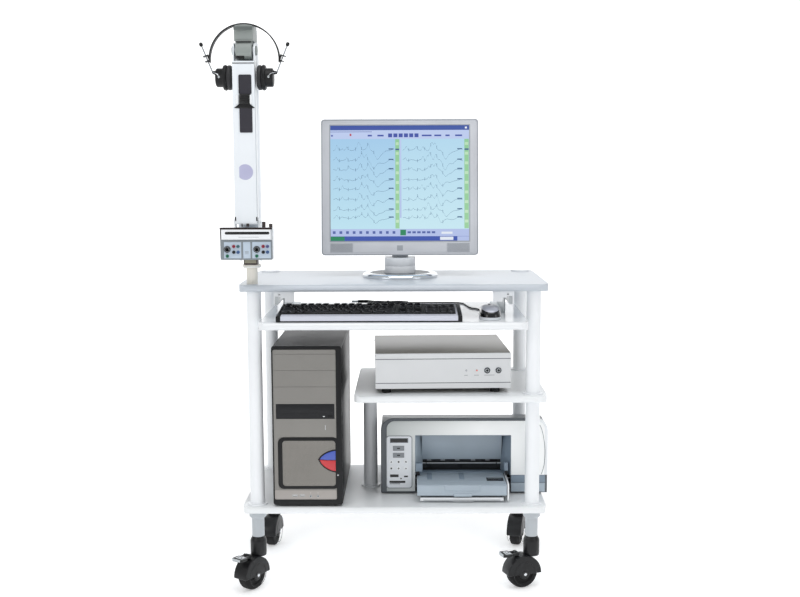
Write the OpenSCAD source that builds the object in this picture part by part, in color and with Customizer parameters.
// Hearing-test workstation on a trolley: three shelves on four braked casters carry a pull-out
// keyboard tray, a monitor, a tower computer, an amplifier, a printer, and a folding arm that
// holds an electrode head box and a headset. Millimetres, +Z up, front towards -Y.

/* [Trolley] */
// Width of the base shelf and the top shelf
shelf_w = 780; // [740:2:840]
// Depth of all shelves
shelf_d = 416; // [406:2:440]
// Thickness of a shelf
shelf_t = 18; // [14:1:24]
// Corner radius of a shelf
shelf_corner_r = 28; // [20:1:40]
// Outer diameter of a post
post_d = 37; // [32:1:42]
// Distance from a shelf's side to the centre of a post
post_inset_x = 35; // [32:1:37]
// Distance from a shelf's front or back to the centre of a post
post_inset_y = 38; // [32:1:40]
// Clear height between the base shelf and the middle shelf
lower_gap = 271; // [271:1:320]
// Clear height between the middle shelf and the top shelf
upper_gap = 266; // [266:1:300]
// Width of the middle shelf
middle_shelf_w = 492; // [480:2:520]
// Distance of the short post from the middle shelf's left edge
short_post_inset = 35; // [30:1:45]
// Clearance round a post where it passes through a shelf
post_fit = 0.1; // [0.05:0.05:0.3]
// Diameter of the raised collar round a post's foot
collar_d = 52; // [46:1:58]
// Height of the raised collar round a post's foot
collar_h = 3.5; // [2:0.5:5]

/* [Casters] */
// Height of the base shelf's underside above the floor
caster_h = 202; // [200:1:230]
// Diameter of a caster wheel
wheel_d = 80; // [76:1:84]
// Width of a caster wheel
wheel_t = 28; // [24:1:30]
// Distance from the swivel axis to the wheel's axle
caster_trail = 27; // [22:1:29]
// Width of a caster's hood
hood_w = 42; // [40:1:48]
// Thickness of the hood over the wheel
hood_wall = 4; // [3:0.5:5]
// Gap between the wheel's tread and the hood
tread_gap = 3; // [2:0.5:4]
// Gap between the wheel's side and the hood's cheek
wheel_side_gap = 1.2; // [0.8:0.1:2]
// Diameter of a wheel's axle
axle_d = 8; // [7:0.5:10]
// Diameter of the swivel head on top of the hood
swivel_head_d = 42; // [38:1:46]
// Height of the hood's swivel head above the floor
swivel_head_top = 134.7; // [120:0.1:140]
// Diameter of the swivel stem
stem_d = 11; // [10:0.5:14]
// Length of the swivel stem above its head
stem_l = 58; // [45:1:60]
// Diameter of the sleeve tube that holds the stem
sleeve_d = 32; // [28:1:36]
// Diameter of the sleeve's flange under the shelf
sleeve_flange_d = 44; // [40:1:50]
// Height of the sleeve's flange
sleeve_flange_h = 14; // [10:1:18]
// Radial clearance of a running shaft in its bore
running_fit = 0.05; // [0.02:0.01:0.1]
// Gap between the swivel head and its sleeve
swivel_gap = 0.3; // [0.2:0.1:0.6]
// Width of a brake pedal's pad
pedal_w = 34; // [28:1:40]
// Length of a brake pedal from its pin to its tip
pedal_l = 42; // [38:1:44]
// Direction in which the front left wheel trails
trail_fl = 236; // [226:1:246]
// Direction in which the front right wheel trails
trail_fr = 200; // [190:1:210]
// Direction in which the rear left wheel trails
trail_rl = 262; // [252:1:272]
// Direction in which the rear right wheel trails
trail_rr = 255; // [245:1:265]

/* [Keyboard tray] */
// Width of the keyboard tray
tray_w = 666; // [640:2:668]
// Depth of the keyboard tray
tray_d = 428; // [400:2:440]
// Thickness of the keyboard tray
tray_t = 20; // [16:1:24]
// Distance from the top shelf's underside to the tray's top
tray_drop = 69; // [66:1:74]
// How far the tray stands out in front of the shelf
tray_out = 60; // [50:1:62]
// Radius of the tray's front corners
tray_corner_r = 24; // [16:1:40]
// Distance from the trolley's middle to a slide's web
slide_x = 302; // [300:1:306]
// Thickness of the slides' sheet steel
slide_t = 3; // [2:0.5:3]
// Width of a slide's top flange
slide_flange_w = 52; // [40:1:56]
// Length of a slide
slide_l = 350; // [330:2:360]
// Height of the telescopic rail
rail_h = 24; // [20:1:26]
// Gap between the moving rail and the fixed one
rail_gap = 0.6; // [0.4:0.1:1]

/* [Keyboard and mouse] */
// Width of the keyboard
keyboard_w = 459; // [440:1:470]
// Depth of the keyboard
keyboard_d = 160; // [150:1:164]
// Height of the keyboard's front edge
keyboard_front_h = 14; // [12:1:18]
// Height of the keyboard's back edge
keyboard_back_h = 26; // [22:1:26]
// Pitch of the keys
key_pitch = 19; // [18.5:0.1:19]
// Gap between two keys
key_gap = 2.4; // [1.6:0.2:3]
// Height of the keys above the case
key_h = 4.5; // [4:0.5:5]
// Travel of the space bar
space_travel = 2.5; // [2:0.1:3]
// Clearance of the space bar in its place
key_fit = 0.5; // [0.3:0.1:0.8]
// Width of the mouse
mouse_w = 56; // [54:1:66]
// Length of the mouse
mouse_l = 115; // [108:1:120]
// Height of the mouse
mouse_h = 32; // [28:1:33]
// Height of the mouse's base
mouse_base_h = 9; // [7:0.5:10]
// Diameter of the mouse wheel
mouse_wheel_d = 22; // [20:1:24]
// Width of the mouse wheel
mouse_wheel_w = 6; // [5:0.5:8]
// Diameter of the mouse cord
cord_d = 3.6; // [3.2:0.1:3.9]
// Loops in the put-away part of the cord
hank_loops = 6; // [2:2:6]

/* [Monitor] */
// Width of the monitor's frame
monitor_w = 421; // [400:1:440]
// Height of the monitor's frame
monitor_h = 364; // [350:1:380]
// Depth of the monitor's frame
bezel_t = 16; // [12:1:20]
// Depth of the back cover at its middle
back_cover_t = 28; // [26:1:32]
// Width of the frame beside the screen
bezel_side = 24; // [20:1:28]
// Height of the frame above the screen
bezel_top = 16; // [14:1:24]
// Height of the frame below the screen
bezel_chin = 38; // [34:1:44]
// Height of the monitor's lower edge above the top shelf
monitor_lift = 58; // [58:1:80]
// Backward tilt of the monitor at rest
monitor_tilt = 5; // [0:0.5:8]
// Distance of the monitor's centre from the trolley's middle
monitor_x = 15; // [0:1:30]
// Distance of the monitor's lower front edge behind the trolley's middle
monitor_y = 4; // [0:1:12]
// Diameter of the stand's foot
stand_d = 200; // [180:2:220]
// Height of the stand's foot
stand_h = 11; // [9:1:14]
// Width of the stand's neck
neck_w = 82; // [70:1:90]
// Diameter of the monitor's hinge pin
tilt_pin_d = 8; // [6:0.5:10]

/* [Tower computer] */
// Width of the tower
tower_w = 177; // [165:1:185]
// Height of the tower without its feet
tower_h = 411; // [400:1:415]
// Depth of the tower
tower_d = 380; // [340:2:390]
// Distance of the tower's left side from the trolley's middle
tower_left = 310; // [300:1:315]
// Distance of the tower's front behind the shelf's front
tower_setback = 10; // [6:1:20]
// Depth of the tower's front bezel
tower_bezel_t = 12; // [10:1:16]
// Height of the rubber feet of the tower
tower_foot_h = 5; // [4:0.5:8]
// Width of the optical drive's front
drive_w = 148; // [146:0.5:149]
// Height of the optical drive's front
drive_h = 38; // [34:0.5:41]
// Clearance round the optical drive's front
drive_fit = 0.5; // [0.3:0.1:0.8]
// Clearance round a front button
button_fit = 0.3; // [0.2:0.1:0.5]
// Travel of the power and reset buttons
button_travel = 2; // [1.5:0.1:2.5]

/* [Amplifier] */
// Width of the amplifier
amp_w = 346; // [320:1:350]
// Depth of the amplifier
amp_d = 318; // [280:2:322]
// Height of the amplifier without its feet
amp_h = 90; // [80:1:100]
// Turn of the amplifier on its shelf
amp_yaw = 2; // [0:0.5:5]
// Distance of the amplifier's front left corner right of the short post
amp_inset_x = 20; // [14:1:24]
// Distance of the amplifier's front left corner behind the shelf's front
amp_inset_y = 33; // [28:1:40]
// Height of the amplifier's feet
amp_foot_h = 13; // [10:1:16]
// Thickness of the amplifier's sheet metal
amp_wall = 1.5; // [1:0.1:2]
// Thickness of the amplifier's front panel
amp_panel_t = 6; // [5:0.5:8]
// Inner diameter of an amplifier socket
amp_socket_bore = 6.4; // [5:0.1:7]
// Outer diameter of an amplifier socket
amp_socket_d = 15; // [12:0.5:18]

/* [Printer] */
// Width of the printer
printer_w = 442; // [430:1:446]
// Height of the printer
printer_h = 202; // [196:1:206]
// Depth of the printer's body
printer_d = 215; // [205:1:222]
// Distance of the printer's left side from the trolley's middle
printer_left = 37; // [34:1:40]
// Distance of the printer's front behind the shelf's front
printer_setback = 118; // [114:1:122]
// Depth of the printer's front frame
fascia_t = 10; // [8:1:12]
// Width of the printer's paper bay
bay_w = 254; // [250:1:256]
// Depth of the printer's paper bay
bay_d = 150; // [140:1:170]
// Width of the output tray
output_w = 232; // [220:1:236]
// Distance that the trays stand out of the printer
output_l = 85; // [80:1:90]
// Height of the output tray
output_h = 29; // [18:1:32]
// Height of the paper tray below it
paper_tray_h = 9; // [8:1:12]

/* [Arm] */
// Diameter of the arm's post
arm_post_d = 28; // [26:1:30]
// Height of the arm's post above the top shelf
arm_post_h = 66; // [64:1:80]
// Width of the upper and the lower arm
arm_w = 54; // [50:1:56]
// Depth of an arm's section
arm_depth = 38; // [36:1:38]
// Distance from the shoulder's pin to the elbow's pin
arm_l = 498; // [490:1:520]
// Distance between the two arms when folded
arm_gap = 8; // [8:1:12]
// Thickness of an arm's wall
arm_wall = 3.4; // [3:0.1:3.5]
// Diameter of the arm's pins
arm_pin_d = 10; // [8:0.5:12]
// Width of the elbow block
elbow_w = 46; // [42:1:46]

/* [Head box] */
// Width of the electrode head box
box_w = 127; // [120:1:134]
// Depth of the electrode head box
box_d = 46; // [44:1:48]
// Height of the electrode head box
box_h = 78; // [74:1:80]
// Bore of a large electrode socket
box_socket_bore = 6; // [5:0.1:7]
// Bore of a small electrode socket
box_small_bore = 3; // [2:0.1:4]

/* [Headset] */
// Radius of the headset's band
band_r = 86; // [84:0.5:90]
// Width of the headset's band
band_w = 18; // [14:1:20]
// Thickness of the headset's band
band_t = 3; // [2.5:0.1:3.5]
// Diameter of an earphone's back cup
cup_d = 45; // [40:1:48]
// Diameter of a cushion
cushion_d = 62; // [56:1:66]
// Thickness of a cushion
cushion_t = 13; // [11:1:16]
// Distance between the two cushions
cushion_gap = 59; // [59:0.5:64]
// Diameter of a slider rod
rod_d = 3; // [2.6:0.1:3.4]

/* [Hidden] */
$fn = 48;
// How far a cutting shape reaches past the face that it opens
cut = 1;

base_top = caster_h + shelf_t;
middle_under = base_top + lower_gap;
middle_top = middle_under + shelf_t;
top_under = middle_top + upper_gap;
top_top = top_under + shelf_t;
post_x = shelf_w / 2 - post_inset_x;
post_y = shelf_d / 2 - post_inset_y;
shelf_front = -shelf_d / 2;
middle_left = shelf_w / 2 - middle_shelf_w;
short_post_x = middle_left + short_post_inset;
short_post_y = -4;
post_wall = 2;
post_plug = 12;
sleeve_z = swivel_head_top + swivel_gap;
hood_r = wheel_d / 2 + tread_gap + hood_wall;
cheek_r = 14;
pedal_pin_d = 5;
pedal_pin_offset = 17;
pedal_pin_x = caster_trail + pedal_pin_offset;
pedal_pin_z = wheel_d / 2 + sqrt(pow(hood_r, 2) - pow(pedal_pin_offset, 2)) + 8;
lug_w = 10;
lug_r = 6;
pedal_gap = 0.5;
pedal_arm_w = 5;
pedal_t = 6;

tray_top = top_under - tray_drop;
tray_front = shelf_front - tray_out;
tray_back = tray_front + tray_d;
slide_front = -190;
rail_mid_z = top_under - 23;
rail_depth = 8;
slide_face_h = 27;
slide_step_w = 28;
slide_step_h = 17;
// Place right of and below the slide's outer top corner, width and height of the front's slot
slide_hole = [17, 10, 6, 3];
inner_rail_x = slide_x - slide_t - rail_gap;
runner_t = 3;
runner_x = inner_rail_x - rail_depth;

// A block between two corners
module block(low, high) {
    translate(low) cube(high - low);
}

// A rectangle with true round corners, centred
module rounded_square(w, d, r) {
    square([w - 2 * r, d], center = true);
    square([w, d - 2 * r], center = true);
    for (sx = [-1, 1], sy = [-1, 1])
        translate([sx * (w / 2 - r), sy * (d / 2 - r)]) circle(r);
}

// A plate with round corners between two corners of its outline
module rounded_block(low, high, r) {
    size = high - low;
    translate([(low.x + high.x) / 2, (low.y + high.y) / 2, low.z])
        linear_extrude(size.z) rounded_square(size.x, size.y, r);
}

// A plate in the X-Z plane with round corners, from its front y to its back y
module front_plate(x0, x1, z0, z1, y0, y1, r) {
    translate([(x0 + x1) / 2, y1, (z0 + z1) / 2]) rotate([90, 0, 0])
        linear_extrude(y1 - y0) rounded_square(x1 - x0, z1 - z0, r);
}

// A side outline drawn in Y-Z and extruded along X
module side_profile(x0, x1) {
    translate([x0, 0, 0]) rotate([90, 0, 90]) linear_extrude(x1 - x0) children();
}

// A cylinder along X, centred at a point
module x_cylinder(point, d, length) {
    translate(point) rotate([0, 90, 0]) cylinder(d = d, h = length, center = true);
}

// A cylinder along Y, centred at a point
module y_cylinder(point, d, length) {
    translate(point) rotate([90, 0, 0]) cylinder(d = d, h = length, center = true);
}

// ---- Trolley ----

// A shelf with half-round front and back edges
module shelf(x0, x1, z) {
    w = x1 - x0;
    intersection() {
        rounded_block([x0, -shelf_d / 2, z], [x1, shelf_d / 2, z + shelf_t], shelf_corner_r);
        side_profile(x0 - cut, x1 + cut) translate([0, z + shelf_t / 2]) {
            square([shelf_d - shelf_t, shelf_t], center = true);
            for (s = [-1, 1]) translate([s * (shelf_d - shelf_t) / 2, 0]) circle(d = shelf_t);
        }
    }
}

module base_shelf() {
    color("#eef0ee") shelf(-shelf_w / 2, shelf_w / 2, caster_h);
}

module middle_shelf() {
    color("#eef0ee") difference() {
        shelf(middle_left, shelf_w / 2, middle_under);
        for (s = [-1, 1]) translate([post_x, s * post_y, middle_under - cut])
            cylinder(d = post_d + 2 * post_fit, h = shelf_t + 2 * cut);
    }
}

module top_shelf() {
    color("#e6eaec") shelf(-shelf_w / 2, shelf_w / 2, top_under);
}

// A hollow post with closed ends and a raised collar round its foot
module post(x, y, z0, z1) {
    translate([x, y, z0]) difference() {
        cylinder(d = post_d, h = z1 - z0);
        translate([0, 0, post_plug]) cylinder(d = post_d - 2 * post_wall, h = z1 - z0 - 2 * post_plug);
    }
    translate([x, y, z0]) cylinder(d = collar_d, h = collar_h);
}

module posts() {
    color("#f2f3f1") {
        for (sx = [-1, 1], sy = [-1, 1]) post(sx * post_x, sy * post_y, base_top, top_under);
        for (s = [-1, 1]) translate([post_x, s * post_y, middle_top]) cylinder(d = collar_d, h = collar_h);
        for (s = [-1, 1]) translate([s * post_x, post_y, top_top]) cylinder(d = collar_d, h = collar_h);
    }
    color("#8f9499") post(short_post_x, short_post_y, base_top, middle_under);
}

module caster_sleeves() {
    color("#c9ccce") for (sx = [-1, 1], sy = [-1, 1]) translate([sx * post_x, sy * post_y, 0])
        difference() {
            union() {
                translate([0, 0, sleeve_z]) cylinder(d = sleeve_d, h = caster_h - sleeve_z);
                translate([0, 0, caster_h - sleeve_flange_h])
                    cylinder(d = sleeve_flange_d, h = sleeve_flange_h);
                translate([0, 0, caster_h - sleeve_flange_h - (sleeve_flange_d - sleeve_d) / 2])
                    cylinder(d1 = sleeve_d, d2 = sleeve_flange_d, h = (sleeve_flange_d - sleeve_d) / 2);
            }
            translate([0, 0, sleeve_z - cut])
                cylinder(d = stem_d + 2 * running_fit, h = stem_l + cut + 2);
        }
}

// Places a caster's pieces under a post, turned so that its wheel trails in one direction
module at_caster(sx, sy, trail) {
    translate([sx * post_x, sy * post_y, 0]) rotate([0, 0, trail]) children();
}

// A disc round the wheel's axle
module wheel_disc(d, w) {
    y_cylinder([caster_trail, 0, wheel_d / 2], d, w);
}

// A caster's hood with its swivel head and stem, and a lug where it has a brake
module caster_fork(has_brake) {
    cover_z = wheel_d / 2 - 2;
    color("#1b1c1e") {
        difference() {
            union() {
                intersection() {
                    wheel_disc(2 * hood_r, hood_w);
                    block([-2 * hood_r, -hood_w, cover_z], [3 * hood_r, hood_w, 2 * hood_r + cover_z]);
                }
                wheel_disc(2 * cheek_r, hood_w);
                translate([0, 0, wheel_d - 6]) cylinder(d = swivel_head_d, h = swivel_head_top - wheel_d + 6);
                if (has_brake) {
                    y_cylinder([pedal_pin_x, 0, pedal_pin_z], 2 * lug_r, lug_w);
                    block([pedal_pin_x - lug_r, -lug_w / 2, pedal_pin_z - 3 * lug_r],
                        [pedal_pin_x + lug_r, lug_w / 2, pedal_pin_z]);
                }
            }
            wheel_disc(wheel_d + 2 * tread_gap, wheel_t + 2 * wheel_side_gap);
            if (has_brake)
                y_cylinder([pedal_pin_x, 0, pedal_pin_z], pedal_pin_d + 2 * running_fit, lug_w + 2 * cut);
        }
        wheel_disc(axle_d, hood_w - 2);
        translate([0, 0, swivel_head_top - cut]) cylinder(d = stem_d, h = stem_l + cut);
    }
}

// A wheel with a rounded tread, dished sides and a bore
module caster_wheel() {
    tread_r = 5;
    dish_r = 25;
    dish_h = 5;
    color("#242527") translate([caster_trail, 0, wheel_d / 2]) rotate([90, 0, 0])
        rotate_extrude($fn = 64) difference() {
            union() {
                translate([0, -wheel_t / 2]) square([wheel_d / 2 - tread_r, wheel_t]);
                translate([0, -wheel_t / 2 + tread_r]) square([wheel_d / 2, wheel_t - 2 * tread_r]);
                for (s = [-1, 1])
                    translate([wheel_d / 2 - tread_r, s * (wheel_t / 2 - tread_r)]) circle(tread_r);
            }
            translate([-cut, -wheel_t]) square([axle_d / 2 + running_fit + cut, 2 * wheel_t]);
            for (s = [-1, 1]) translate([axle_d + 3, s * wheel_t / 2 - dish_h / 2])
                square([dish_r - axle_d - 3, dish_h]);
        }
}

module brake_pedal() {
    arm_y = lug_w / 2 + pedal_gap;
    pad_start = lug_r + 8;
    color("#2a2b2d") {
        for (s = [0, 1]) mirror([0, s, 0]) {
            y_cylinder([pedal_pin_x, arm_y + pedal_arm_w / 2, pedal_pin_z], 2 * lug_r - 2, pedal_arm_w);
            block([pedal_pin_x, arm_y, pedal_pin_z - pedal_t / 2],
                [pedal_pin_x + pad_start + cut, arm_y + pedal_arm_w, pedal_pin_z + pedal_t / 2]);
        }
        y_cylinder([pedal_pin_x, 0, pedal_pin_z], pedal_pin_d, lug_w + 2 * pedal_gap + pedal_arm_w);
        rounded_block([pedal_pin_x + pad_start, -pedal_w / 2, pedal_pin_z - pedal_t / 2],
            [pedal_pin_x + pedal_l, pedal_w / 2, pedal_pin_z + pedal_t / 2], 7);
    }
}

// ---- Keyboard tray ----

module tray_slides() {
    window = [slide_x - slide_t - rail_depth - runner_t - 4, slide_x - slide_t];
    color("#d5d8da") for (s = [0, 1]) mirror([s, 0, 0]) difference() {
        union() {
            block([slide_x - slide_flange_w, slide_front, top_under - slide_t],
                [slide_x, slide_front + slide_l, top_under]);
            block([slide_x - slide_t, slide_front, rail_mid_z - rail_h / 2],
                [slide_x, slide_front + slide_l, top_under]);
            for (z = [rail_mid_z - rail_h / 2, rail_mid_z + rail_h / 2 - 2])
                block([slide_x - slide_t - rail_depth + 2, slide_front, z],
                    [slide_x, slide_front + slide_l, z + 2]);
            block([slide_x - slide_flange_w, slide_front, top_under - slide_face_h],
                [slide_x - slide_step_w, slide_front + slide_t, top_under]);
            block([slide_x - slide_step_w - cut, slide_front, top_under - slide_step_h],
                [slide_x, slide_front + slide_t, top_under]);
        }
        block([window[0], slide_front - cut, rail_mid_z - rail_h / 2 - cut],
            [window[1], slide_front + slide_t + cut, rail_mid_z + rail_h / 2 - 2]);
        block([slide_x - slide_hole[0], slide_front - cut, top_under - slide_hole[1]],
            [slide_x - slide_hole[0] + slide_hole[2], slide_front + slide_t + cut,
            top_under - slide_hole[1] + slide_hole[3]]);
    }
}

module tray_runners() {
    plate_front = tray_front + 188;
    rail_low = rail_mid_z - rail_h / 2 + 2 + rail_gap;
    rail_high = rail_mid_z + rail_h / 2 - 2 - rail_gap;
    color("#b9bdc0") for (s = [0, 1]) mirror([s, 0, 0]) {
        block([runner_x, slide_front, rail_low], [inner_rail_x, tray_back - 10, rail_high]);
        block([runner_x - runner_t, plate_front, tray_top], [runner_x + cut / 2, tray_back - 10, rail_high]);
        block([runner_x - 22, plate_front, tray_top],
            [runner_x, tray_back - 10, tray_top + runner_t]);
    }
}

module keyboard_tray() {
    color("#f4f4f1") tray_board();
}

// The tray's board with large front corners and a half-round front edge
module tray_board() {
    intersection() {
        translate([0, 0, tray_top - tray_t]) linear_extrude(tray_t) {
            translate([0, tray_front + tray_corner_r]) {
                translate([-tray_w / 2, 0]) square([tray_w, tray_d - tray_corner_r]);
                translate([-tray_w / 2 + tray_corner_r, -tray_corner_r])
                    square([tray_w - 2 * tray_corner_r, 2 * tray_corner_r]);
                for (s = [-1, 1]) translate([s * (tray_w / 2 - tray_corner_r), 0]) circle(tray_corner_r);
            }
        }
        side_profile(-tray_w, tray_w) {
            translate([tray_front + tray_t / 2, tray_top - tray_t]) square([tray_d, tray_t]);
            translate([tray_front + tray_t / 2, tray_top - tray_t / 2]) circle(d = tray_t);
        }
    }
}

// ---- Keyboard and mouse ----

keyboard_x = -tray_w / 2 + 44;
mouse_aside = 8.5;
keyboard_y = tray_front + 6;
key_slope = atan((keyboard_back_h - keyboard_front_h) / keyboard_d);
palm_d = 26;
key_base_h = 1.2;
key_rows = 6;
row_gap = 7;
key_blocks = [15, 3, 4];
block_gap = 8;
keys_x = keyboard_x + 9;
keys_w = (key_blocks[0] + key_blocks[1] + key_blocks[2]) * key_pitch + 2 * block_gap;
keys_d = key_rows * key_pitch + row_gap;
space_column = 3;
space_keys = 6;
mouse_x = (keyboard_x + keyboard_w + tray_w / 2) / 2 - mouse_aside;
mouse_y = tray_front + 28 + mouse_l / 2;
mouse_corner_r = 25;
mouse_wheel_y = mouse_y + 26;
mouse_wheel_z = tray_top + mouse_h + 0.5 - mouse_wheel_d / 2;
mouse_axle_d = 3;
mouse_slot_gap = 0.6;

// Moves into the keyboard's sloping top, with Y up the slope and Z square to it
module on_keyboard_top() {
    translate([keyboard_x, keyboard_y, tray_top + keyboard_front_h]) rotate([key_slope, 0, 0]) children();
}

module keyboard_case() {
    back_y = keyboard_y + keyboard_d;
    color("#16171a") difference() {
        side_profile(keyboard_x, keyboard_x + keyboard_w) polygon([[keyboard_y, tray_top + 3],
            [keyboard_y + 4, tray_top], [back_y, tray_top], [back_y, tray_top + keyboard_back_h],
            [keyboard_y, tray_top + keyboard_front_h]]);
        on_keyboard_top() space_bar_space(-space_travel - 0.7, cut);
    }
}

// Room for the space bar, from one height to another over the slope
module space_bar_space(z0, z1) {
    x0 = keys_x - keyboard_x + space_column * key_pitch;
    block([x0, palm_d, z0], [x0 + space_keys * key_pitch, palm_d + key_pitch, z1]);
}

// The key field as one cut block, with grooves between the keys
module keyboard_keys() {
    top = key_base_h + key_h;
    color("#202125") on_keyboard_top() difference() {
        translate([keys_x - keyboard_x, palm_d, 0]) cube([keys_w, keys_d, top]);
        translate([keys_x - keyboard_x, palm_d, key_base_h]) linear_extrude(key_h + cut) key_grooves();
        space_bar_space(-cut, top + cut);
    }
}

// Where a key's row begins, counted from the front
function row_y(row) = row * key_pitch + (row == key_rows - 1 ? row_gap : 0);

module key_grooves() {
    for (row = [1 : key_rows - 1]) translate([-cut, row_y(row) - key_gap / 2])
        square([keys_w + 2 * cut, key_gap]);
    translate([-cut, (key_rows - 1) * key_pitch - key_gap / 2]) square([keys_w + 2 * cut, row_gap + key_gap]);
    for (b = [0 : len(key_blocks) - 1]) {
        x0 = b == 0 ? 0 : b == 1 ? key_blocks[0] * key_pitch + block_gap
            : (key_blocks[0] + key_blocks[1]) * key_pitch + 2 * block_gap;
        if (b > 0) translate([x0 - block_gap, -cut]) square([block_gap, keys_d + 2 * cut]);
        for (column = [1 : key_blocks[b] - 1]) translate([x0 + column * key_pitch - key_gap / 2, -cut])
            square([key_gap, keys_d + 2 * cut]);
    }
}

module space_bar() {
    x0 = keys_x - keyboard_x + space_column * key_pitch;
    color("#202125") on_keyboard_top()
        rounded_block([x0 + key_fit, palm_d + key_fit, 0],
            [x0 + space_keys * key_pitch - key_fit, palm_d + key_pitch - key_fit, key_base_h + key_h], 2);
}

module mouse_outline(inset) {
    translate([mouse_x, mouse_y])
        rounded_square(mouse_w - 2 * inset, mouse_l - 2 * inset, mouse_corner_r - inset);
}

// Radius of an arc from half its span and its rise
function arc_radius(half, rise) = (pow(half, 2) + pow(rise, 2)) / (2 * rise);

module mouse_base() {
    color("#dfe3ee") {
        translate([0, 0, tray_top]) linear_extrude(mouse_base_h) mouse_outline(2);
        y_cylinder([cord_start.x, cord_start.y - 8, cord_start.z], 2 * cord_start_gland_r, 16);
    }
}

module mouse_shell() {
    low = tray_top + mouse_base_h;
    long_r = arc_radius(mouse_l / 2, mouse_h / 2);
    wide_r = arc_radius(mouse_w / 2, mouse_h / 2 - 3);
    color("#b9bcc4") difference() {
        intersection() {
            translate([0, 0, low]) linear_extrude(mouse_h) mouse_outline(0);
            x_cylinder([mouse_x, mouse_y, tray_top + mouse_h - long_r], 2 * long_r, 2 * mouse_w, $fn = 96);
            y_cylinder([mouse_x, mouse_y, tray_top + mouse_h - wide_r], 2 * wide_r, 2 * mouse_l, $fn = 96);
        }
        x_cylinder([mouse_x, mouse_wheel_y, mouse_wheel_z], mouse_wheel_d + 2, mouse_wheel_w + 2 * mouse_slot_gap);
        x_cylinder([mouse_x, mouse_wheel_y, mouse_wheel_z], mouse_axle_d + 2 * running_fit, mouse_wheel_w + 9);
    }
}

module mouse_wheel() {
    color("#26272a") {
        x_cylinder([mouse_x, mouse_wheel_y, mouse_wheel_z], mouse_wheel_d, mouse_wheel_w);
        x_cylinder([mouse_x, mouse_wheel_y, mouse_wheel_z], mouse_axle_d, mouse_wheel_w + 8);
    }
}

// ---- Mouse cord: a free stretch, then a hank tied behind the keyboard, then the plug ----

cord_start_gland_r = 3.2;
cord_lie = tray_top + cord_d / 2 + 0.2;
cord_start = [mouse_x - 12, mouse_y + mouse_l / 2 + 10, tray_top + 5];
hank_x = -20;
hank_y = 95;
hank_run = 60;
hank_inner_r = 3 * cord_d;
hank_waist = 0.35;
hank_step = (cord_d + 0.6) / (1 - hank_waist);
hank_layer = cord_d + 0.6;
hank_rings = 24;
hank_lead = 27;
hank_end_turn = hank_loops / 2 + 1 / 8;
hank_start = hank_point(-hank_end_turn) + [hank_lead, 0, 0];
hank_end = hank_point(hank_end_turn) - [hank_lead, 0, 0];
// Points of the free stretch between the mouse and the hank, along the tray
cord_route = [cord_start, [231, -104, tray_top + 5], [231, -82, 709], [229, -42, cord_lie],
    [219, -12, cord_lie], [206, 4, cord_lie], [199, 42, cord_lie], [194, 80, cord_lie],
    [188, 108, cord_lie], [168, 125, cord_lie],
    [135, 128, cord_lie], [90, 127, cord_lie], [60, hank_start.y, cord_lie],
    [50, hank_start.y, cord_lie], hank_start];
cord_ring_pitch = 9;
plug_size = [28, 12, 7.5];
plug_shell_size = [17, 12, 4.5];

// A point of the hank after a number of turns, counted from the middle of the climb
function hank_point(t) =
    let (u = t - floor(t + 1 / 8), r = hank_inner_r + abs(t) * hank_step,
        climb = min(1, max(0, t * 4 + 0.5)), q = hank_quarter(u, r),
        pinch = 1 - hank_waist * exp(-pow(q.x / 14, 2)))
    [hank_x - q.x, hank_y - q.y * pinch, cord_lie + climb * hank_layer];

// The hank's outline round its middle: a run, a bend, the other run and the other bend
function hank_quarter(u, r) =
    u < 1 / 8 ? [u * 8 * hank_run / 2, -r]
    : u < 3 / 8 ? let (a = (u - 1 / 8) * 720) [hank_run / 2 + r * sin(a), -r * cos(a)]
    : u < 5 / 8 ? [hank_run / 2 - (u - 3 / 8) * 4 * hank_run, r]
    : let (a = (u - 5 / 8) * 720) [-hank_run / 2 - r * sin(a), r * cos(a)];

hank_steps = floor(2 * hank_end_turn * hank_rings);
hank_line = concat([hank_start, hank_start - [cord_d, 0, 0]],
    [for (i = [0 : hank_steps]) hank_point(-hank_end_turn + i / hank_rings)],
    [hank_end + [cord_d, 0, 0], hank_end]);
// Least gap between two passes of the hank, measured from ring to ring
hank_gap = min([for (i = [0 : len(hank_line) - 1], j = [i + 10 : len(hank_line) - 1])
    if (j < len(hank_line)) norm(hank_line[i] - hank_line[j])]) - cord_d;
echo(least_gap_between_hank_passes = hank_gap);

// A point on a smooth curve through four neighbouring points
function curve_point(a, b, c, d, s) = 0.5 * (2 * b + (c - a) * s + (2 * a - 5 * b + 4 * c - d) * pow(s, 2)
    + (3 * b - a - 3 * c + d) * pow(s, 3));
function route_point(route, i) = route[min(max(i, 0), len(route) - 1)];
function smooth_line(route, pitch) = concat([for (i = [0 : len(route) - 2])
    let (n = ceil(norm(route[i + 1] - route[i]) / pitch)) for (k = [0 : n - 1])
        curve_point(route_point(route, i - 1), route[i], route[i + 1], route_point(route, i + 2), k / n)],
    [route[len(route) - 1]]);
function unit(v) = v / norm(v);
function line_direction(line, i) = unit(line[min(i + 1, len(line) - 1)] - line[max(i - 1, 0)]);

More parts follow.
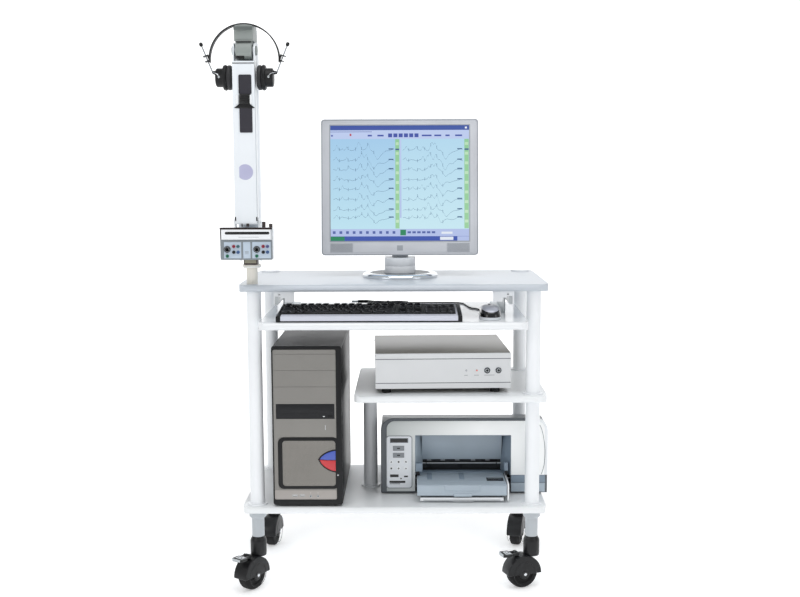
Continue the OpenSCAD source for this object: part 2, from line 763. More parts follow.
// A tube swept along a line of points that nowhere runs upright
module swept_tube(line, d, sides) {
    rings = [for (i = [0 : len(line) - 1])
        let (along = i < 2 ? unit(line[1] - line[0])
                : i > len(line) - 3 ? unit(line[len(line) - 1] - line[len(line) - 2]) : line_direction(line, i),
            side = unit(cross([0, 0, 1], along)), up = cross(along, side))
        for (k = [0 : sides - 1]) line[i] + d / 2 * (cos(360 * k / sides) * side + sin(360 * k / sides) * up)];
    last = (len(line) - 1) * sides;
    walls = [for (i = [0 : len(line) - 2], k = [0 : sides - 1]) let (a = i * sides, n = (k + 1) % sides)
        each [[a + k, a + sides + k, a + n], [a + n, a + sides + k, a + sides + n]]];
    ends = [for (k = [1 : sides - 2]) each [[0, k, k + 1], [last, last + k + 1, last + k]]];
    polyhedron(rings, concat(walls, ends));
}

module mouse_cord() {
    color("#141518") swept_tube(smooth_line(cord_route, cord_ring_pitch), cord_d, 8);
}

module mouse_cord_hank() {
    color("#141518") swept_tube(hank_line, cord_d, 6);
}

module mouse_plug() {
    color("#141518") rounded_block([hank_end.x - plug_size.x, hank_end.y - plug_size.y / 2,
        hank_end.z - plug_size.z / 2], [hank_end.x, hank_end.y + plug_size.y / 2,
        hank_end.z + plug_size.z / 2], 2);
    color("#c8cacc") block([hank_end.x - plug_size.x - plug_shell_size.x, hank_end.y - plug_shell_size.y / 2,
        hank_end.z - plug_shell_size.z / 2], [hank_end.x - plug_size.x, hank_end.y + plug_shell_size.y / 2,
        hank_end.z + plug_shell_size.z / 2]);
}

// ---- Monitor ----

monitor_pin_y = bezel_t + back_cover_t + 14;
monitor_pin_z = 92;
monitor_pin = [monitor_x,
    monitor_y + monitor_pin_y * cos(monitor_tilt) + monitor_pin_z * sin(monitor_tilt),
    top_top + monitor_lift + monitor_pin_z * cos(monitor_tilt) - monitor_pin_y * sin(monitor_tilt)];
barrel_d = 24;
barrel_w = 44;
lug_gap = 0.5;
monitor_lug_w = 8;
screen_low = bezel_chin;
screen_high = monitor_h - bezel_top;
panel_rim = 4;
bezel_lip = 3;

// Moves to the lower front edge of the tilted monitor
module in_monitor() {
    translate([monitor_x, monitor_y, top_top + monitor_lift]) rotate([-monitor_tilt, 0, 0]) children();
}

module monitor_stand() {
    neck_front = monitor_y - 24;
    neck_top = top_top + monitor_lift - 8;
    foot_y = monitor_y + 4;
    color("#c9ced4") {
        translate([monitor_x, foot_y, top_top]) rotate_extrude($fn = 96)
            polygon([[0, 0], [stand_d / 2, 0], [stand_d / 2, 1.5], [stand_d / 2 - 12, stand_h],
                [stand_d / 2 - 16, stand_h], [stand_d / 2 - 18, stand_h - 6], [0, stand_h - 6]]);
        difference() {
            union() {
                translate([0, 0, top_top + 2]) linear_extrude(neck_top - top_top - 2) {
                    translate([monitor_x, neck_front + neck_w / 2]) circle(d = neck_w, $fn = 96);
                    translate([monitor_x - neck_w / 2, neck_front + neck_w / 2])
                        square([neck_w, monitor_pin.y + 7 - neck_front - neck_w / 2]);
                }
                block([monitor_x - barrel_w / 2, monitor_pin.y - 7, neck_top - 2],
                    [monitor_x + barrel_w / 2, monitor_pin.y + 7, monitor_pin.z]);
                x_cylinder(monitor_pin, barrel_d, barrel_w);
            }
            x_cylinder(monitor_pin, tilt_pin_d + 2 * running_fit, barrel_w + 2 * cut);
        }
    }
}

module monitor_bezel() {
    color("#c3c7cc") in_monitor() difference() {
        front_plate(-monitor_w / 2, monitor_w / 2, 0, monitor_h, 0, bezel_t, 9);
        block([bezel_side - monitor_w / 2, -cut, screen_low],
            [monitor_w / 2 - bezel_side, bezel_t + cut, screen_high]);
        block([bezel_side - panel_rim - monitor_w / 2, bezel_lip, screen_low - panel_rim],
            [monitor_w / 2 - bezel_side + panel_rim, bezel_t + cut, screen_high + panel_rim]);
    }
}

module monitor_panel() {
    color("#a9d4ee") in_monitor()
        block([bezel_side - panel_rim - monitor_w / 2, bezel_lip, screen_low - panel_rim],
            [monitor_w / 2 - bezel_side + panel_rim, bezel_t, screen_high + panel_rim]);
}

module monitor_back_cover() {
    edge = 8;
    back = bezel_t + back_cover_t;
    half = monitor_w / 2 - edge;
    pin = [0, monitor_pin_y, monitor_pin_z];
    color("#9a9ea4") in_monitor() {
        intersection() {
            side_profile(-half, half) polygon([[bezel_t, edge], [bezel_t + 10, edge], [back, 56],
                [back, monitor_h - 150], [bezel_t + 12, monitor_h - edge], [bezel_t, monitor_h - edge]]);
            linear_extrude(monitor_h) polygon([[-half, bezel_t], [half, bezel_t], [half, bezel_t + 8],
                [half - 60, back], [60 - half, back], [-half, bezel_t + 8]]);
        }
        for (s = [0, 1]) mirror([s, 0, 0]) {
            lug_x = barrel_w / 2 + lug_gap;
            block([lug_x, back - 2, monitor_pin_z - 10],
                [lug_x + monitor_lug_w, monitor_pin_y, monitor_pin_z + 10]);
            x_cylinder(pin + [lug_x + monitor_lug_w / 2, 0, 0], 20, monitor_lug_w);
        }
        x_cylinder(pin, tilt_pin_d, barrel_w + 2 * lug_gap + monitor_lug_w);
    }
}

// ---- Tower computer ----

tower_x = -tower_left;
tower_front = shelf_front + tower_setback;
tower_z = base_top + tower_foot_h;
tower_right = tower_x + tower_w;
tower_wall = 1.5;
frame_strip = 12;
bay_lines = [20, 62, 104];
drive_x = tower_x + 10;
drive_z = tower_z + tower_h - 186;
drive_depth = 180;
button_at = [tower_right - frame_strip - 25, tower_z + 117];
button_lean = -24;
mesh_low = 42;
mesh_high = 178;

module tower_case() {
    case_front = tower_front + tower_bezel_t;
    housing = 2 * drive_fit;
    color("#1c1d1f") difference() {
        union() {
            difference() {
                block([tower_x + 2, case_front, tower_z],
                    [tower_right, tower_front + tower_d, tower_z + tower_h - 1]);
                block([tower_x + 2 + tower_wall, case_front + tower_wall, tower_z + tower_wall],
                    [tower_right - tower_wall, tower_front + tower_d - tower_wall,
                        tower_z + tower_h - 1 - tower_wall]);
            }
            block([drive_x - housing, case_front, drive_z - housing],
                [drive_x + drive_w + housing, case_front + drive_depth + 4, drive_z + drive_h + housing]);
        }
        block([drive_x - drive_fit, case_front - cut, drive_z - drive_fit],
            [drive_x + drive_w + drive_fit, case_front + drive_depth, drive_z + drive_h + drive_fit]);
    }
}

// The outline of the two front buttons together, split into an upper and a lower one
module button_outline(grow) {
    translate(button_at) rotate(button_lean) intersection_for(s = [-1, 1])
        translate([s * 12.6, 0]) circle(31.6 + grow, $fn = 96);
}

// Turns an outline drawn in X-Z into a solid between two depths
module front_solid(y0, y1) {
    translate([0, y1, 0]) rotate([90, 0, 0]) linear_extrude(y1 - y0) children();
}

module tower_bezel() {
    color("#908e8a") difference() {
        front_plate(tower_x + 2, tower_right, tower_z, tower_z + tower_h,
            tower_front, tower_front + tower_bezel_t, 6);
        block([drive_x - drive_fit, tower_front - cut, drive_z - drive_fit],
            [drive_x + drive_w + drive_fit, tower_front + tower_bezel_t + cut, drive_z + drive_h + drive_fit]);
        front_plate(tower_x + 14, tower_right - frame_strip - 5, tower_z + mesh_low, tower_z + mesh_high,
            tower_front - cut, tower_front + 1.5, 8);
        front_solid(tower_front - cut, tower_front + tower_bezel_t + cut) button_outline(button_fit);
        for (z = bay_lines) block([tower_x + 4, tower_front - cut, tower_z + tower_h - z],
            [tower_right - frame_strip, tower_front + 1, tower_z + tower_h - z + 1.2]);
    }
}

module optical_drive_tray() {
    inset = 6;
    tongue_low = 10;
    tongue_h = 10;
    well_d = 121;
    well_deep = 3;
    color("#232427") difference() {
        union() {
            block([drive_x, tower_front, drive_z],
                [drive_x + drive_w, tower_front + tower_bezel_t, drive_z + drive_h]);
            block([drive_x + inset, tower_front + tower_bezel_t - cut, drive_z + tongue_low],
                [drive_x + drive_w - inset, tower_front + drive_depth - 10, drive_z + tongue_low + tongue_h]);
        }
        translate([drive_x + drive_w / 2, tower_front + 90, drive_z + tongue_low + tongue_h - well_deep])
            cylinder(d = well_d, h = well_deep + cut);
    }
}

// One of the two front buttons: the half of the outline above or below the split
module front_button(upper) {
    split = 0.6;
    reach = 60;
    front_solid(tower_front - button_travel, tower_front + 7) intersection() {
        button_outline(0);
        translate(button_at) rotate(button_lean)
            translate([-reach, upper ? split : -split - 2 * reach]) square([2 * reach, 2 * reach]);
    }
}

module power_button() {
    color("#4a5fb0") front_button(true);
}

module reset_button() {
    color("#c2232c") front_button(false);
}

// ---- Amplifier ----

amp_x = short_post_x + amp_inset_x;
amp_y = shelf_front + amp_inset_y;
amp_z = middle_top + amp_foot_h;
amp_socket_z = 46;
amp_socket_pitch = 29;
amp_socket_x = amp_w - 31.5;
amp_socket_l = 16;
amp_socket_flange = 2;
amp_led_d = 4;
amp_led_x = [amp_w - 114, amp_w - 87];

// Moves to the amplifier's lower front left corner, turned as it stands
module in_amplifier() {
    translate([amp_x, amp_y, amp_z]) rotate([0, 0, amp_yaw]) children();
}

module amplifier_chassis() {
    color("#a7a29b") in_amplifier() difference() {
        block([0, amp_panel_t, 0], [amp_w, amp_d, amp_h - amp_wall]);
        block([amp_wall, amp_panel_t - cut, amp_wall], [amp_w - amp_wall, amp_d - amp_wall, amp_h]);
    }
}

module amplifier_lid() {
    skirt = 12;
    color("#b3aea6") in_amplifier() {
        block([0, amp_panel_t, amp_h - amp_wall], [amp_w, amp_d, amp_h]);
        for (x = [amp_wall + post_fit, amp_w - 2 * amp_wall - post_fit])
            block([x, amp_panel_t + 5, amp_h - skirt], [x + amp_wall, amp_d - 5, amp_h - amp_wall / 2]);
    }
}

module amplifier_panel() {
    body_d = amp_socket_d - 4;
    color("#cfd2d6") in_amplifier() difference() {
        block([0, 0, 0], [amp_w, amp_panel_t, amp_h]);
        for (z = [14, amp_h - 14]) block([-cut, -cut, z], [amp_w + cut, 0.8, z + 1]);
        for (i = [0, 1]) y_cylinder([amp_socket_x - i * amp_socket_pitch, 0, amp_socket_z],
            body_d + 2 * running_fit, 4 * amp_panel_t);
        for (x = amp_led_x) y_cylinder([x, 0, amp_socket_z], amp_led_d + 2 * running_fit, 4 * amp_panel_t);
    }
}

module amplifier_sockets() {
    body_d = amp_socket_d - 4;
    color("#2b2c30") in_amplifier() for (i = [0, 1])
        translate([amp_socket_x - i * amp_socket_pitch, -amp_socket_flange, amp_socket_z]) rotate([-90, 0, 0])
            difference() {
                union() {
                    cylinder(d = amp_socket_d, h = amp_socket_flange);
                    cylinder(d = body_d, h = amp_socket_l);
                }
                translate([0, 0, -cut]) cylinder(d = amp_socket_bore, h = amp_socket_l - 2 + cut);
            }
    color("#d03030") in_amplifier() for (x = amp_led_x)
        y_cylinder([x, amp_panel_t / 2 - 1, amp_socket_z], amp_led_d, amp_panel_t + 1);
}

// ---- Printer ----

printer_x = -printer_left;
printer_right = printer_x + printer_w;
printer_front = shelf_front + printer_setback;
printer_foot_h = 3;
printer_z = base_top + printer_foot_h;
printer_top = printer_z + printer_h;
printer_back = printer_front + printer_d;
printer_slope = 38;
printer_corner_r = 34;
printer_floor = 2;
bay_x = printer_x + 91;
bay_right = bay_x + bay_w;
bay_top = printer_top - 45;
output_x = bay_x + 4.5;
paper_tray_z = printer_z + printer_floor + 0.5;
output_gap = 6;
output_z = paper_tray_z + paper_tray_h + output_gap;
lid_pin = [(bay_x + bay_right) / 2, printer_front + 30, output_z + output_h / 2];
lid_pin_d = 5;
lid_pin_grip = 6;

// The printer's outline from the front, with large upper corners
module printer_outline(inset) {
    translate([printer_x + inset, printer_z]) square([printer_w - 2 * inset, printer_h / 2]);
    translate([(printer_x + printer_right) / 2, printer_z + printer_h / 2])
        rounded_square(printer_w - 2 * inset, printer_h - 2 * inset, printer_corner_r - inset);
}

module printer_body() {
    color("#55595e") difference() {
        intersection() {
            front_solid(printer_front + fascia_t, printer_back) printer_outline(0);
            side_profile(printer_x - cut, printer_right + cut) polygon([[printer_front, printer_z],
                [printer_back, printer_z], [printer_back, printer_top - printer_slope],
                [printer_front, printer_top + fascia_t * printer_slope / printer_d]]);
        }
        block([bay_x, printer_front, printer_z + printer_floor], [bay_right, printer_front + bay_d, bay_top]);
        x_cylinder(lid_pin, lid_pin_d + 2 * running_fit, bay_w + 2 * lid_pin_grip + 1);
    }
}

module printer_fascia() {
    panel_x = [printer_x + 17, printer_x + 82];
    color("#d4d7da") difference() {
        front_solid(printer_front, printer_front + fascia_t) printer_outline(4);
        block([bay_x, printer_front - cut, printer_z - cut], [bay_right, printer_front + fascia_t + cut, bay_top]);
        front_plate(panel_x[0], panel_x[1], printer_z + 19, printer_z + 161,
            printer_front - cut, printer_front + 1, 6);
    }
}

module printer_paper_tray() {
    side = 8;
    tray_front_y = printer_front - output_l + 5;
    tray_back_y = printer_front + bay_d - 20;
    color("#eceeef") {
        block([output_x + side, tray_front_y, paper_tray_z],
            [output_x + output_w - side, tray_back_y, paper_tray_z + paper_tray_h - 3]);
        for (x = [output_x + side, output_x + output_w - side - 3])
            block([x, tray_front_y, paper_tray_z], [x + 3, tray_back_y, paper_tray_z + paper_tray_h]);
    }
}

module printer_tray_lid() {
    front = printer_front - output_l;
    back = lid_pin.y + 3;
    color("#aab3bc") {
        difference() {
            rounded_block([output_x, front, output_z], [output_x + output_w, back, output_z + output_h], 3);
            block([output_x + 4, front + 4, output_z - cut],
                [output_x + output_w - 4, lid_pin.y - 8, output_z + output_h - 3]);
        }
        x_cylinder(lid_pin, lid_pin_d, bay_w + 2 * lid_pin_grip);
    }
}

module rubber_feet() {
    color("#26272a") {
        for (x = [tower_x + 24, tower_right - 22], y = [tower_front + 40, tower_front + tower_d - 40])
            translate([x, y, base_top]) cylinder(d = 20, h = tower_foot_h);
        for (x = [printer_x + 40, printer_right - 40], y = [printer_front + 35, printer_back - 30])
            translate([x, y, base_top]) cylinder(d = 16, h = printer_foot_h);
        translate([0, 0, -amp_foot_h]) in_amplifier() for (x = [28, amp_w - 38], y = [22, amp_d - 26])
            translate([x, y, 0]) cylinder(d = 24, h = amp_foot_h);
    }
}

// ---- Arm ----

arm_x = -post_x - 3;
swivel_y = -post_y;
collar_z = top_top + arm_post_h - 25;
collar_top = collar_z + 22;
swivel_collar_d = 46;
spigot_d = 18;
spigot_short = 6;
shoulder = [arm_x, swivel_y - 10, top_top + arm_post_h + 9];
elbow = [arm_x, shoulder.y - 42, shoulder.z + arm_l];
lower_front = shoulder.y - 24;
lower_back = lower_front + arm_depth;
upper_back = lower_front - arm_gap;
upper_front = upper_back - arm_depth;
box_pin = [arm_x, (upper_front + upper_back) / 2, elbow.z - 413];
tongue_w = 36;
boss_d = 44;
boss_w = 39;
boss_web_set = 8;
boss_web_in = 12;
block_low = elbow.z + 22;
band_seat = elbow.z + 61;
block_front = upper_back - 24;
arm_end = 6;
cover_top = elbow.z - 27;
ear_w = 3.5;
ear_gap = 0.8;

module arm_post() {
    color("#e9e6df") {
        translate([arm_x, swivel_y, top_top]) cylinder(d = arm_post_d, h = collar_z - top_top - swivel_gap);
        translate([arm_x, swivel_y, top_top]) cylinder(d = spigot_d, h = collar_top - top_top - spigot_short);
    }
    color("#2a2a2c") y_cylinder([arm_x, swivel_y - arm_post_d / 2, top_top + 7], 6, 5);
}

// The turning collar with the shoulder's tongue on top
module arm_swivel() {
    tongue_r = 14;
    color("#3a2f2c") difference() {
        union() {
            translate([arm_x, swivel_y, collar_z]) cylinder(d = swivel_collar_d, h = collar_top - collar_z);
            x_cylinder(shoulder, 2 * tongue_r, tongue_w);
            block([arm_x - tongue_w / 2, shoulder.y - tongue_r, collar_top - cut],
                [arm_x + tongue_w / 2, shoulder.y + tongue_r, shoulder.z]);
        }
        translate([arm_x, swivel_y, collar_z - cut])
            cylinder(d = spigot_d + 2 * running_fit, h = collar_top - collar_z - spigot_short + 2 * cut);
        x_cylinder(shoulder, arm_pin_d + 2 * running_fit, tongue_w + 2 * cut);
    }
}

// A hollow rectangular arm section between two heights
module arm_tube(front, z0, z1) {
    difference() {
        rounded_block([arm_x - arm_w / 2, front, z0], [arm_x + arm_w / 2, front + arm_depth, z1], 4);
        block([arm_x - arm_w / 2 + arm_wall, front + arm_wall, z0 - cut],
            [arm_x + arm_w / 2 - arm_wall, front + arm_depth - arm_wall, z1 + cut]);
    }
}

// The pair of side plates that carries a pin at one end of an arm
module fork_plates(pin, r, z0, z1, y0, y1) {
    for (s = [-1, 1]) {
        x0 = s < 0 ? arm_x - arm_w / 2 : arm_x + arm_w / 2 - arm_wall;
        x_cylinder([x0 + arm_wall / 2, pin.y, pin.z], 2 * r, arm_wall);
        block([x0, y0, z0], [x0 + arm_wall, y1, z1]);
    }
}

module lower_arm() {
    fork_r = 16;
    tube_low = shoulder.z + 36;
    color("#e3e7ea") {
        difference() {
            arm_tube(lower_front, tube_low, block_low);
            elbow_boss(swivel_gap);
        }
        fork_plates(shoulder, fork_r, shoulder.z, tube_low + cut, shoulder.y - fork_r, shoulder.y + 13);
        x_cylinder(shoulder, arm_pin_d, arm_w - cut);
        for (s = [-1, 1]) x_cylinder(shoulder + [s * (tongue_w / 2 + swivel_gap
            + (arm_w / 2 - arm_wall - tongue_w / 2) / 2), 0, 0], 18, arm_w / 2 - arm_wall - tongue_w / 2);
    }
}

// The elbow's boss and the web behind it, grown by a gap on every side
module elbow_boss(gap) {
    x_cylinder(elbow, boss_d + 2 * gap, boss_w + 2 * gap);
    block([arm_x - boss_w / 2 - gap, elbow.y - boss_d / 2 + boss_web_set, elbow.z],
        [arm_x + boss_w / 2 + gap, lower_front + boss_web_in + gap, block_low + cut]);
}

// The block on the lower arm that carries the elbow's boss and seats the headset's band
module elbow_block() {
    color("#9aa09d") difference() {
        union() {
            block([arm_x - elbow_w / 2, block_front, block_low],
                [arm_x + elbow_w / 2, lower_back, band_seat - arm_gap]);
            rounded_block([arm_x - elbow_w / 2, block_front, band_seat - arm_gap - cut],
                [arm_x + elbow_w / 2, lower_back, band_seat], 6);
            elbow_boss(0);
        }
        x_cylinder(elbow, arm_pin_d + 2 * running_fit, elbow_w + 2 * cut);
        translate([arm_x, headset_y + band_w / 2 + band_rest, band_z]) rotate([90, 0, 0])
            linear_extrude(headset_y + band_w / 2 + band_rest - block_front + cut) difference() {
                circle(2 * band_r);
                circle(band_r - band_t - band_rest, $fn = 128);
            }
    }
}

module upper_arm() {
    fork_r = lower_front - swivel_gap - elbow.y;
    color("#eef1f4") difference() {
        union() {
            arm_tube(upper_front, box_pin.z - arm_end, cover_top);
            block([arm_x - arm_w / 2 + 1, upper_front + 1, cover_top - 2],
                [arm_x + arm_w / 2 - 1, upper_back - 1, cover_top]);
            block([arm_x - arm_w / 2 + 1, upper_front + 1, box_pin.z - arm_end],
                [arm_x + arm_w / 2 - 1, upper_back - 1, box_pin.z - arm_end + 1]);
            fork_plates(elbow, fork_r, cover_top - cut, elbow.z, elbow.y - fork_r, elbow.y + 9);
            x_cylinder(elbow, arm_pin_d, arm_w - cut);
            for (s = [-1, 1]) x_cylinder(elbow + [s * (boss_w / 2 + swivel_gap
                + (arm_w / 2 - arm_wall - boss_w / 2) / 2), 0, 0], 18, arm_w / 2 - arm_wall - boss_w / 2);
        }
        x_cylinder(box_pin, box_pin_d + 2 * running_fit, arm_w + 2 * cut);
    }
}

// ---- Head box ----

box_pin_d = 8;
box_front = upper_front - 10;
box_top = box_pin.z - 14.5;
box_low = box_top - box_h;
box_wall = 2;
flap_z = box_top - 29;
flap_slot_side = 12;
flap_slot_low = 13;
flap_slot_h = 7;
panel_t = 3;
big_socket_d = 16;
small_socket_d = 8;
socket_out = 3;
socket_l = 16;
// Places of one group's small sockets, counted from its large socket
small_sockets = [[16, 7], [26.5, 7], [16, -7], [26.5, -7], [0, -16.5]];
socket_groups = [-46.5, 25.5];
socket_row_z = box_low + 26;
peg_d = 9;
pegs = [[40, 14], [57, 9]];

// The socket places on the head box, each as X, Z and whether it is a large one
socket_places = [for (g = socket_groups) each concat([[arm_x + g, socket_row_z, true]],
    [for (p = small_sockets) [arm_x + g + p[0], socket_row_z + p[1], false]])];

module head_box_case() {
    half = box_w / 2;
    color("#e4e7ea") {
        difference() {
            rounded_block([arm_x - half, box_front + panel_t, box_low],
                [arm_x + half, box_front + box_d, box_top], 4);
            block([arm_x - half + box_wall, box_front + panel_t + box_wall, box_low + box_wall],
                [arm_x + half - box_wall, box_front + box_d - box_wall, box_top - box_wall]);
            for (p = socket_places) y_cylinder([p[0], box_front + panel_t, p[1]],
                socket_body_d(p) + 2 * running_fit, 3 * box_wall);
        }
        for (s = [-1, 1]) {
            x0 = arm_x + s * (arm_w / 2 + ear_gap + ear_w / 2);
            block([x0 - ear_w / 2, box_pin.y - 9, box_top - cut], [x0 + ear_w / 2, box_pin.y + 9, box_pin.z]);
            x_cylinder([x0, box_pin.y, box_pin.z], 18, ear_w);
        }
        x_cylinder(box_pin, box_pin_d, arm_w + 2 * ear_gap + 2 * ear_w + 4);
    }
}

function socket_body_d(place) = (place[2] ? big_socket_d : small_socket_d) - 2;

module head_box_panel() {
    half = box_w / 2;
    color("#cfd9e2") difference() {
        union() {
            front_plate(arm_x - half, arm_x + half, box_low, flap_z, box_front, box_front + panel_t, 3);
            front_plate(arm_x - half + 3, arm_x + half - 3, flap_z + 0.5, box_top,
                box_front - 2, box_front + panel_t, 2);
        }
        for (p = socket_places) y_cylinder([p[0], box_front, p[1]],
            socket_body_d(p) + 2 * running_fit, 4 * panel_t);
        block([arm_x - half + flap_slot_side, box_front - 2 - cut, flap_z + flap_slot_low],
            [arm_x + half - flap_slot_side, box_front, flap_z + flap_slot_low + flap_slot_h]);
    }
}

module head_box_sockets() {
    color("#26262a") for (p = socket_places) {
        d = p[2] ? big_socket_d : small_socket_d;
        bore = p[2] ? box_socket_bore : box_small_bore;
        translate([p[0], box_front - socket_out, p[1]]) rotate([-90, 0, 0]) difference() {
            union() {
                cylinder(d = d, h = socket_out);
                cylinder(d = d - 2, h = socket_l);
            }
            translate([0, 0, -cut]) cylinder(d = bore, h = socket_l - 3 + cut);
        }
    }
    color("#3a2f2c") for (p = pegs) translate([arm_x + p[0], box_pin.y, box_top]) cylinder(d = peg_d, h = p[1]);
}

// ---- Headset ----

headset_y = block_front + 11;
band_rest = 0.3;
band_z = band_seat + band_rest + band_t - band_r;
cup_back_t = 27;
cup_flange_t = 8.5;
cup_flange_in = 2;
cup_axis_z = band_z - 43;
cushion_x = cushion_gap / 2;
cup_x = cushion_x + cushion_t;
yoke_x = cup_x + cup_back_t + 5;
yoke_z = cup_axis_z + 12;
bracket_size = [13, 14, 15];
bracket_tab_t = 2;
bracket_wall = 3;
bracket_x = band_r - 1 + bracket_size.x / 2;
bracket_z = band_z + 3;
rod_lean = 22;
rod_up = 35.83;
rod_down = 35;
ball_d = 8;
yoke_pin_d = 4;
yoke_lug_w = 4;
yoke_gap = 0.5;
ear_swing_clear = 1;

// Builds one side of the headset: -1 is the left, 1 the right
module on_headset(s) {
    translate([arm_x, headset_y, 0]) mirror([s < 0 ? 1 : 0, 0, 0]) children();
}

// Moves to the slider's guide, with Z along the leaning rod
module on_rod() {
    translate([bracket_x, 0, bracket_z]) rotate([0, rod_lean, 0]) children();
}

module headband() {
    color("#1d1e20") {
        translate([arm_x, headset_y + band_w / 2, band_z]) rotate([90, 0, 0]) linear_extrude(band_w)
            difference() {
                circle(band_r, $fn = 128);
                circle(band_r - band_t, $fn = 128);
                translate([-2 * band_r, -2 * band_r - 6]) square([4 * band_r, 2 * band_r]);
            }
        for (s = [-1, 1]) on_headset(s) difference() {
            on_rod() block([-bracket_size.x / 2, -bracket_size.y / 2, -bracket_size.z / 2], bracket_size / 2);
            on_rod() cylinder(d = rod_d + 2 * running_fit, h = 3 * bracket_size.z, center = true);
            on_rod() block([bracket_wall - bracket_size.x / 2, -bracket_size.y, bracket_tab_t - bracket_size.z / 2],
                [bracket_size.x, bracket_size.y, bracket_size.z / 2 - bracket_tab_t]);
        }
    }
}

// A rod with a ball tip, a leg towards the cup and a cross pin for the cup's lugs
module slider_rod(s) {
    foot = [bracket_x - rod_down * sin(rod_lean), bracket_z - rod_down * cos(rod_lean)];
    color("#6d7075") on_headset(s) {
        on_rod() {
            translate([0, 0, -rod_down]) cylinder(d = rod_d, h = rod_down + rod_up);
            translate([0, 0, rod_up]) sphere(d = ball_d);
            translate([0, 0, -rod_down]) sphere(d = rod_d + 1);
        }
        y_cylinder([yoke_x, 0, yoke_z], yoke_pin_d, 2 * (yoke_gap + yoke_lug_w) + yoke_lug_w);
        slant_bar([foot[0], foot[1]], [yoke_x, yoke_z], rod_d);
    }
}

// A round bar in the X-Z plane between two points
module slant_bar(a, b, d) {
    translate([a[0], 0, a[1]]) rotate([0, atan2(b[0] - a[0], b[1] - a[1]), 0])
        cylinder(d = d, h = norm(b - a));
}

module earphone(s) {
    lug_y = yoke_lug_w / 2 + yoke_gap;
    color("#1a1b1d") on_headset(s) {
        translate([cup_x, 0, cup_axis_z]) rotate([0, 90, 0]) {
            cylinder(d = cushion_d - cup_flange_in, h = cup_flange_t);
            cylinder(d = cup_d, h = cup_back_t);
        }
        for (m = [0, 1]) mirror([0, m, 0]) difference() {
            union() {
                y_cylinder([yoke_x, lug_y + yoke_lug_w / 2, yoke_z], 2 * yoke_pin_d, yoke_lug_w);
                block([cup_x + cup_back_t - 2, lug_y, yoke_z - yoke_pin_d],
                    [yoke_x, lug_y + yoke_lug_w, yoke_z + yoke_pin_d]);
            }
            y_cylinder([yoke_x, 0, yoke_z], yoke_pin_d + 2 * running_fit, 6 * yoke_lug_w);
        }
    }
}

// A ring-shaped cushion with a crown, drawn-in sides and a shallow dish, as rings of points
module cushion(s) {
    r = cushion_d / 2;
    t = cushion_t;
    sides = 40;
    // Radius and height above the cup, from the back's middle round to the face's middle
    outline = [[r - 6, 0], [r - 3, 1.5], [r - 0.8, t * 0.25], [r, t * 0.45], [r - 0.6, t * 0.65],
        [r - 2.5, t * 0.84], [r - 6, t * 0.96], [r - 9, t], [r - 12, t * 0.97], [r - 15, t * 0.9],
        [r - 18, t * 0.85], [r - 22, t * 0.84]];
    rings = len(outline);
    points = concat([for (p = outline, k = [0 : sides - 1])
        [-p[1], p[0] * cos(360 * k / sides), p[0] * sin(360 * k / sides)]],
        [[0, 0, 0], [-outline[rings - 1][1], 0, 0]]);
    walls = [for (i = [0 : rings - 2], k = [0 : sides - 1]) let (a = i * sides, n = (k + 1) % sides)
        each [[a + k, a + sides + k, a + n], [a + n, a + sides + k, a + sides + n]]];
    last = (rings - 1) * sides;
    caps = [for (k = [0 : sides - 1]) let (n = (k + 1) % sides)
        each [[k, n, rings * sides], [last + n, last + k, rings * sides + 1]]];
    color("#232427") on_headset(s) translate([cup_x, 0, cup_axis_z]) polyhedron(points, concat(walls, caps));
}

// ---- Sub-parts that repeat ----

module caster_fork_fl() { at_caster(-1, -1, trail_fl) caster_fork(true); }
module caster_fork_fr() { at_caster(1, -1, trail_fr) caster_fork(true); }
module caster_fork_rl() { at_caster(-1, 1, trail_rl) caster_fork(false); }
module caster_fork_rr() { at_caster(1, 1, trail_rr) caster_fork(false); }
module caster_wheel_fl() { at_caster(-1, -1, trail_fl) caster_wheel(); }
module caster_wheel_fr() { at_caster(1, -1, trail_fr) caster_wheel(); }
module caster_wheel_rl() { at_caster(-1, 1, trail_rl) caster_wheel(); }
module caster_wheel_rr() { at_caster(1, 1, trail_rr) caster_wheel(); }
module brake_pedal_fl() { at_caster(-1, -1, trail_fl) brake_pedal(); }
module brake_pedal_fr() { at_caster(1, -1, trail_fr) brake_pedal(); }
module left_slider_rod() { slider_rod(-1); }
module right_slider_rod() { slider_rod(1); }
module left_earphone() { earphone(-1); }
module right_earphone() { earphone(1); }
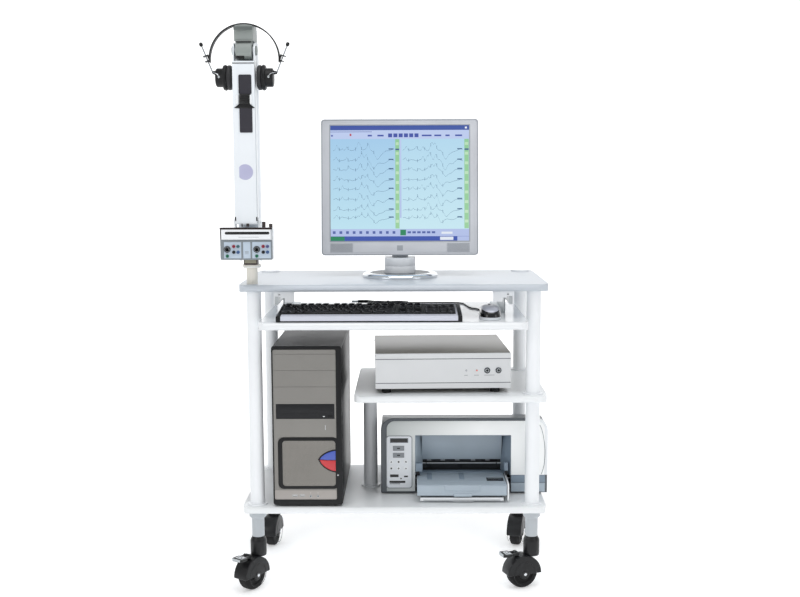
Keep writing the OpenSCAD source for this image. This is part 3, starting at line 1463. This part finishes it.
module left_cushion() { cushion(-1); }
module right_cushion() { cushion(1); }

// ---- The whole, with its origin on the floor under the middle of its bounding box ----

widest_left = arm_x - bracket_x - rod_up * sin(rod_lean) - ball_d / 2;
widest_right = max(printer_right, shelf_w / 2);
middle_x = (widest_left + widest_right) / 2;
middle_y = (tray_front + shelf_d / 2) / 2;

module in_frame() {
    translate([-middle_x, -middle_y, 0]) children();
}

in_frame() base_shelf();
in_frame() middle_shelf();
in_frame() top_shelf();
in_frame() posts();
in_frame() caster_sleeves();
in_frame() tray_slides();
in_frame() rubber_feet();
in_frame() arm_post();
in_frame() monitor_stand();
in_frame() tower_case();
in_frame() tower_bezel();
in_frame() amplifier_chassis();
in_frame() amplifier_lid();
in_frame() amplifier_panel();
in_frame() amplifier_sockets();
in_frame() printer_body();
in_frame() printer_fascia();
in_frame() caster_fork_fl();
in_frame() caster_fork_fr();
in_frame() caster_fork_rl();
in_frame() caster_fork_rr();
in_frame() caster_wheel_fl();
in_frame() caster_wheel_fr();
in_frame() caster_wheel_rl();
in_frame() caster_wheel_rr();
in_frame() brake_pedal_fl();
in_frame() brake_pedal_fr();
in_frame() keyboard_tray();
in_frame() tray_runners();
in_frame() keyboard_case();
in_frame() keyboard_keys();
in_frame() space_bar();
in_frame() mouse_base();
in_frame() mouse_shell();
in_frame() mouse_wheel();
in_frame() mouse_cord();
in_frame() mouse_cord_hank();
in_frame() mouse_plug();
in_frame() monitor_bezel();
in_frame() monitor_back_cover();
in_frame() monitor_panel();
in_frame() optical_drive_tray();
in_frame() power_button();
in_frame() reset_button();
in_frame() printer_paper_tray();
in_frame() printer_tray_lid();
in_frame() arm_swivel();
in_frame() lower_arm();
in_frame() elbow_block();
in_frame() upper_arm();
in_frame() head_box_case();
in_frame() head_box_panel();
in_frame() head_box_sockets();
in_frame() headband();
in_frame() left_slider_rod();
in_frame() right_slider_rod();
in_frame() left_earphone();
in_frame() right_earphone();
in_frame() left_cushion();
in_frame() right_cushion();
